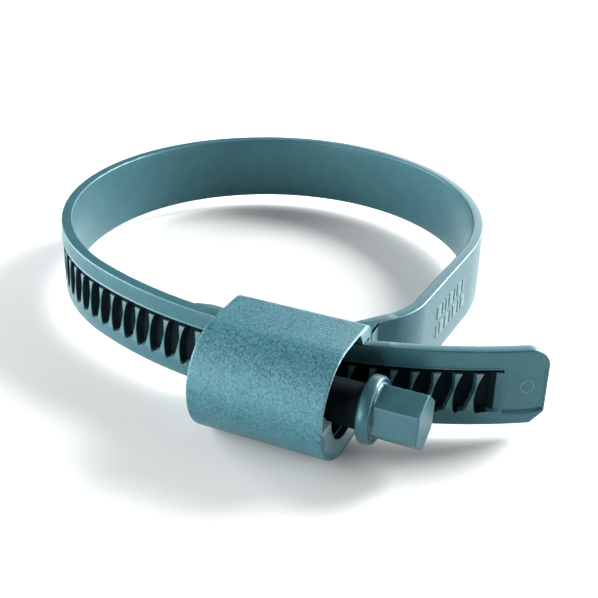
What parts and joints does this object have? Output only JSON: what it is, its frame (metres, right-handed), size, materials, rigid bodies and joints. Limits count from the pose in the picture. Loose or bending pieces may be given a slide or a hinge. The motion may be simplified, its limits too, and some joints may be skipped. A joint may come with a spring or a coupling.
{
  "type": "worm-drive hose clamp",
  "caption": "Moulded plastic hose clamp: a toothed strap closes in a ring through a rounded housing, drawn in by a worm screw with a hexagon head.",
  "frame": {"origin": "centre of the closed ring, on the hose's axis, midway across the strap's width", "axes": "+Z along the hose; +X along the worm screw, from the housing's blind end towards the hexagon head; -Y from the hose towards the screw housing"},
  "size_m": [0.0912, 0.0872, 0.0164],
  "materials": {
    "worm_housing": "fine spark-eroded matte",
    "inner_tongue": "satin, as moulded",
    "fixed_strap": "satin, as moulded",
    "plain_strap": "satin, as moulded",
    "toothed_strap": "satin, as moulded",
    "worm_screw": "satin, as moulded"
  },
  "bodies": {
    "housing": {"worm_housing": "worm_housing", "inner_tongue": "inner_tongue", "fixed_strap": "fixed_strap"},
    "strap": {"plain_strap": "plain_strap", "toothed_strap": "toothed_strap"},
    "screw": {"worm_screw": "worm_screw"}
  },
  "joints": [
    {"name": "screw_turn", "type": "hinge", "parent": "housing", "child": "screw", "pos_m": [0.03, -0.04285, 0], "axis": [-1, 0, 0], "range_deg": [-2160, 2880]},
    {"name": "strap_closing", "type": "hinge", "parent": "housing", "child": "strap", "pos_m": [0.01436, 0.03225, 0], "axis": [0, 0, 1], "range_deg": [-14.3, 19]}
  ],
  "couplings": [
    {"joint": "strap_closing", "follows": "screw_turn", "ratio": 0.0065904}
  ]
}
